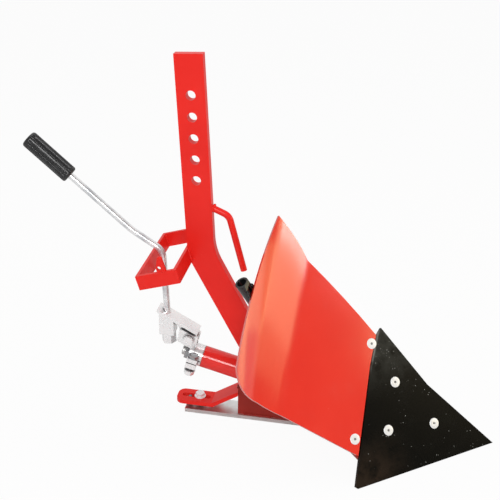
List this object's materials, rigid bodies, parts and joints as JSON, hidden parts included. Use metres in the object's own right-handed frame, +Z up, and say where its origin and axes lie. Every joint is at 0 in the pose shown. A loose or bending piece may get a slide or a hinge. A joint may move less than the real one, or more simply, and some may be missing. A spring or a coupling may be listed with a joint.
{
  "type": "mouldboard plough",
  "caption": "Right-hand mouldboard plough for a walking tractor: drilled standard, rolled mouldboard and bolted share on a tilting pivot set by a hand lever in a gate.",
  "frame": {"origin": "on the ground under the middle of the whole plough", "axes": "+X the way it travels, +Y to the landside, +Z up; the working face looks to -Y"},
  "size_m": [0.876, 0.3029, 0.7053],
  "materials": {
    "red_paint": "gloss red enamel",
    "share_black": "black paint, scratched and dusty",
    "black_paint": "black paint",
    "bare_steel": "bare rolled steel",
    "zinc": "bright zinc plate",
    "grip_plastic": "moulded, fluted"
  },
  "bodies": {
    "bottom": {"share": "share_black", "mouldboard": "red_paint", "frog_plate": "red_paint", "frog_rib": "red_paint", "shaft": "bare_steel", "sole": "bare_steel", "heel_bar": "red_paint", "heel_nuts": "zinc", "stay": "black_paint", "crank": "zinc", "shaft_nut": "zinc", "hinge_pin": "zinc"},
    "hitch": {"standard": "red_paint", "pivot_tube": "red_paint", "hook_rod": "red_paint", "gate_front": "red_paint", "gate_rear": "red_paint", "gate_near": "red_paint", "gate_far": "red_paint", "notch_plate": "red_paint"},
    "lever": {"lever_rod": "zinc", "lever_foot": "zinc", "grip": "grip_plastic"}
  },
  "joints": [
    {"name": "tilt", "type": "hinge", "parent": "bottom", "child": "hitch", "pos_m": [-0.123, 0.061, 0.119], "axis": [0.9703, 0, -0.2419], "range_deg": [-12, 12]},
    {"name": "lever_tip", "type": "hinge", "parent": "bottom", "child": "lever", "pos_m": [-0.14752, 0.061, 0.16325], "axis": [0, 1, 0], "range_deg": [-1, 4.5]}
  ]
}
